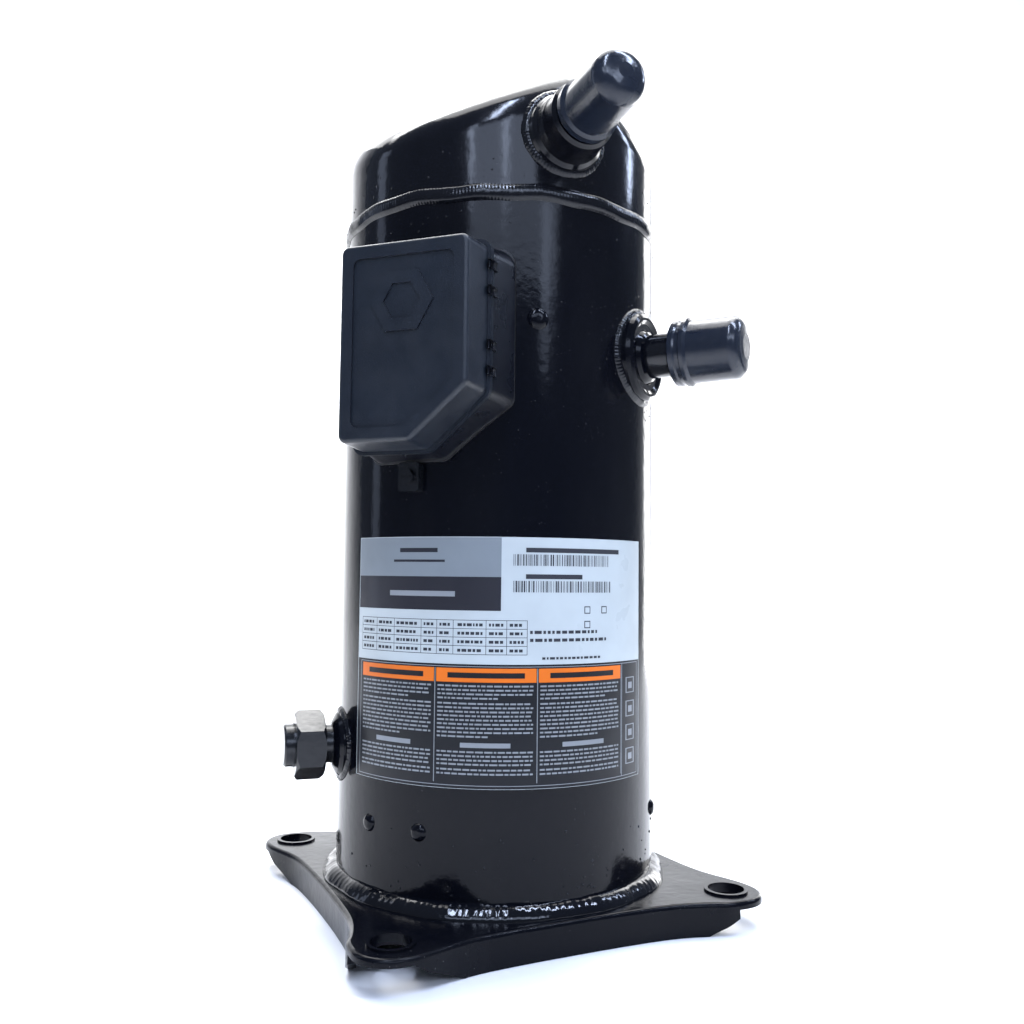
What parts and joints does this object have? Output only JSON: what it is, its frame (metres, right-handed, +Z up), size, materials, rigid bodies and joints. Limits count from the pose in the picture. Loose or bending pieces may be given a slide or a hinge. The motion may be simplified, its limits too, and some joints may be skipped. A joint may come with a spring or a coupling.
{
  "type": "scroll compressor",
  "caption": "Hermetic scroll compressor: black welded shell with slanted cap, suction and discharge stubs, terminal box, oil fitting and a base with bolt-down feet; motor and scroll set inside.",
  "frame": {"origin": "on the shell axis, at the underside of the mounting feet, at the centre of the bolt pattern", "axes": "+Z up along the shell axis; X and Y along the sides of the square bolt pattern; the terminal box faces between -X and -Y, the suction stub between +X and -Y"},
  "size_m": [0.2386, 0.2711, 0.47],
  "materials": {
    "shell_paint": "gloss black enamel",
    "fitting_paint": "black paint over zinc",
    "tube_steel": "copper-plated steel tube",
    "rubber_plug": "smooth moulded rubber",
    "gasket_rubber": "matt",
    "seal_plastic": "white sealing washer",
    "box_plastic": "satin moulded plastic",
    "terminal_steel": "plain steel",
    "terminal_copper": "copper-cored pins",
    "screw_zinc": "zinc plated",
    "label_film": "silver film",
    "cast_iron": "machined casting",
    "bearing_bronze": "bearing bronze",
    "core_steel": "stacked laminations",
    "winding_copper": "enamelled copper wire",
    "rotor_aluminium": "cast",
    "shaft_steel": "ground",
    "seal_metal": "machined",
    "magnet": "ferrite"
  },
  "bodies": {
    "casing": {"mounting_base": "shell_paint", "bottom_cap": "shell_paint", "base_weld": "shell_paint", "shell": "shell_paint", "seam_weld": "shell_paint", "separator_plate": "terminal_steel", "top_cap": "shell_paint", "suction_collar": "shell_paint", "suction_stub": "tube_steel", "discharge_boss": "shell_paint", "discharge_stub": "tube_steel", "check_valve_seat": "terminal_steel", "oil_boss": "shell_paint", "oil_spud": "fitting_paint", "oil_seal": "seal_plastic", "oil_blank": "fitting_paint", "terminal_base": "box_plastic", "terminal_gasket": "gasket_rubber", "hermetic_terminal": "terminal_steel", "terminal_pins": "terminal_copper", "ground_bracket": "shell_paint", "rating_label": "label_film", "main_bearing_housing": "cast_iron", "main_bearing_bush": "bearing_bronze", "stator_core": "core_steel", "upper_winding": "winding_copper", "lower_winding": "winding_copper", "lower_bearing_bracket": "cast_iron", "lower_bearing_bush": "bearing_bronze", "thrust_washer": "terminal_steel", "sump_magnet": "magnet", "scroll_bolts": "shaft_steel", "bolt_sleeves": "shaft_steel"},
    "crank": {"crankshaft": "shaft_steel", "drive_bushing": "bearing_bronze", "oil_pickup": "shaft_steel", "rotor_core": "core_steel", "rotor_end_rings": "rotor_aluminium", "upper_counterweight": "shaft_steel", "lower_counterweight": "shaft_steel"},
    "orbiter": {"orbiting_scroll": "cast_iron", "hub_bearing": "bearing_bronze"},
    "oldham": {"oldham_ring": "rotor_aluminium"},
    "upper_scroll": {"fixed_scroll": "cast_iron", "valve_retainer": "terminal_steel"},
    "valve": {"discharge_valve": "shaft_steel"},
    "floating_seal": {"floating_seal_lower": "seal_metal", "floating_seal_upper": "seal_metal"},
    "check_valve": {"check_valve_disc": "shaft_steel"},
    "cover": {"terminal_cover": "box_plastic"},
    "suction_cap": {"suction_plug": "rubber_plug"},
    "discharge_cap": {"discharge_plug": "rubber_plug"},
    "oil_nut": {"oil_cap_nut": "fitting_paint"},
    "earth_screw": {"ground_screw": "screw_zinc"}
  },
  "joints": [
    {"name": "crank_spin", "type": "hinge", "parent": "casing", "child": "crank", "pos_m": [0, 0, 0.15], "axis": [0, 0, 1], "continuous": true},
    {"name": "orbit_counter_spin", "type": "hinge", "parent": "crank", "child": "orbiter", "pos_m": [0.0051, 0, 0.28], "axis": [0, 0, 1], "continuous": true},
    {"name": "oldham_slide", "type": "slide", "parent": "casing", "child": "oldham", "axis": [1, 0, 0], "range_m": [-0.0102, 0]},
    {"name": "scroll_float", "type": "slide", "parent": "casing", "child": "upper_scroll", "axis": [0, 0, 1], "range_m": [0, 0.0008]},
    {"name": "seal_float", "type": "slide", "parent": "casing", "child": "floating_seal", "axis": [0, 0, 1], "range_m": [0, 0.0009]},
    {"name": "discharge_valve_lift", "type": "slide", "parent": "upper_scroll", "child": "valve", "axis": [0, 0, 1], "range_m": [0, 0.003]},
    {"name": "check_valve_slide", "type": "slide", "parent": "casing", "child": "check_valve", "axis": [-0.0523, -0.9977, 0.0436], "range_m": [0, 0.003]},
    {"name": "cover_pull", "type": "slide", "parent": "casing", "child": "cover", "axis": [-0.7193, -0.6947, 0], "range_m": [0, 0.06]},
    {"name": "suction_plug_pull", "type": "slide", "parent": "casing", "child": "suction_cap", "axis": [0.5736, -0.8192, 0], "range_m": [0, 0.06]},
    {"name": "discharge_plug_pull", "type": "slide", "parent": "casing", "child": "discharge_cap", "axis": [-0.0523, -0.9977, 0.0436], "range_m": [0, 0.06]},
    {"name": "oil_nut_turn", "type": "hinge", "parent": "casing", "child": "oil_nut", "pos_m": [-0.10929, 0.01245, 0.078], "axis": [-0.9936, 0.1132, 0], "continuous": true},
    {"name": "earth_screw_turn", "type": "hinge", "parent": "casing", "child": "earth_screw", "pos_m": [-0.07717, -0.0571, 0.224], "axis": [-0.8039, -0.5948, 0], "continuous": true}
  ],
  "couplings": [
    {"joint": "orbit_counter_spin", "follows": "crank_spin", "ratio": -1}
  ]
}
